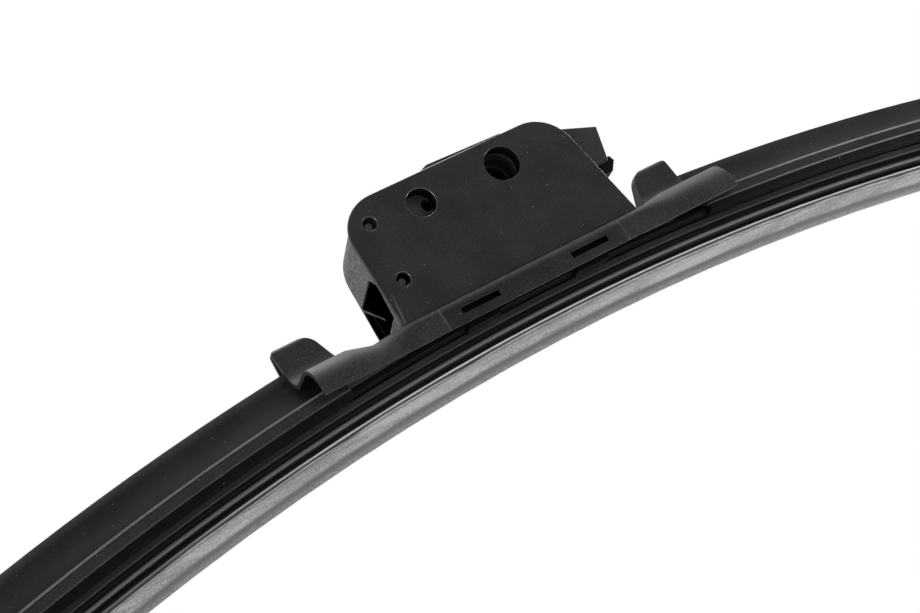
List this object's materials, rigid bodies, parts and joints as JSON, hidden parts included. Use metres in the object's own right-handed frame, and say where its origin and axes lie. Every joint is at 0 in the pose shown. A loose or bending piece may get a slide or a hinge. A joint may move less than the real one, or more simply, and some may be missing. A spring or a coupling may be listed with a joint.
{
  "type": "wiper blade",
  "caption": "Frameless bowed wiper blade: rubber strip on spring rails under a spoiler, with a moulded carrier and a side-pin adapter housing that has a release button.",
  "frame": {"origin": "on the axis of the side-pin bore, in the middle plane of the wiping strip", "axes": "+X along the blade towards the release button, +Y through the housing away from the side plate, +Z away from the window, with the wiping lip down"},
  "size_m": [0.4124, 0.0234, 0.081],
  "materials": {
    "rubber": "satin",
    "spoiler": "satin",
    "cap": "satin",
    "steel_rail": "satin",
    "steel_bracket": "satin",
    "steel_clip": "satin",
    "carrier": "satin",
    "housing": "matt",
    "side_plate": "satin",
    "block": "satin",
    "button": "satin",
    "pin": "satin",
    "rivet": "satin"
  },
  "bodies": {
    "blade": {"wiper_rubber": "rubber", "rail_near": "steel_rail", "rail_far": "steel_rail", "rail_clip_left": "steel_clip", "rail_clip_right": "steel_clip", "spoiler_left": "spoiler", "spoiler_right": "spoiler", "end_cap_left": "cap", "end_cap_right": "cap", "claw_bracket": "steel_bracket", "carrier": "carrier", "housing": "housing", "side_plate": "side_plate", "adapter_block": "block", "pin_upper": "pin", "pin_lower": "pin", "rivet_left": "rivet", "rivet_right": "rivet"},
    "release": {"release_button": "button"}
  },
  "joints": [
    {"name": "release_push", "type": "slide", "parent": "blade", "child": "release", "axis": [1, 0, 0], "range_m": [-0.002, 0], "stiffness_N_per_m": 600, "springref_m": 0.0005}
  ]
}
